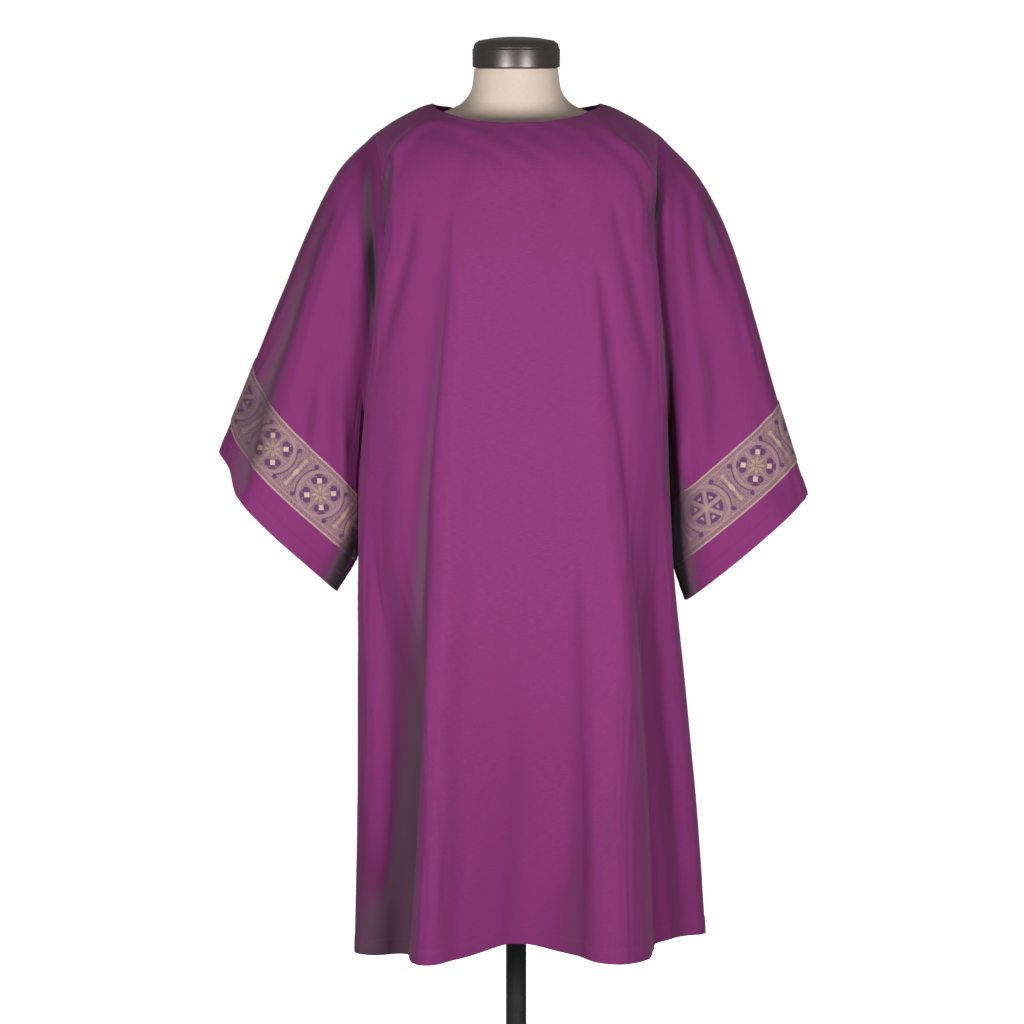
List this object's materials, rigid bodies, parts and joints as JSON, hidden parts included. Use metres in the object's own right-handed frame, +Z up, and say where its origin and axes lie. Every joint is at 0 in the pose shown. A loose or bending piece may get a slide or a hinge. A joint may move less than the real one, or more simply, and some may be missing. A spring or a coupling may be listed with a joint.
{
  "type": "dalmatic on dress form",
  "caption": "Wide-sleeved deacon's dalmatic in plain violet cloth with a woven band round each sleeve, hanging on a limbless dress form with a round base.",
  "frame": {"origin": "on the floor, under the centre of the part's box", "axes": "+Z up, the garment's front faces -Y, the wearer's left is +X"},
  "size_m": [0.7942, 0.3628, 1.56],
  "materials": {
    "violet_cloth": "matte plain weave",
    "band_brocade": "woven gold figure on violet",
    "form_linen": "smooth natural linen",
    "cap_metal": "dark brushed pewter",
    "stand_paint": "satin black paint"
  },
  "bodies": {
    "root": {"front": "violet_cloth", "back": "violet_cloth", "sleeve_right": "violet_cloth", "sleeve_left": "violet_cloth", "band_right": "band_brocade", "band_left": "band_brocade", "form_body": "form_linen", "neck_cap": "cap_metal", "pole": "stand_paint", "base": "stand_paint"}
  },
  "joints": []
}
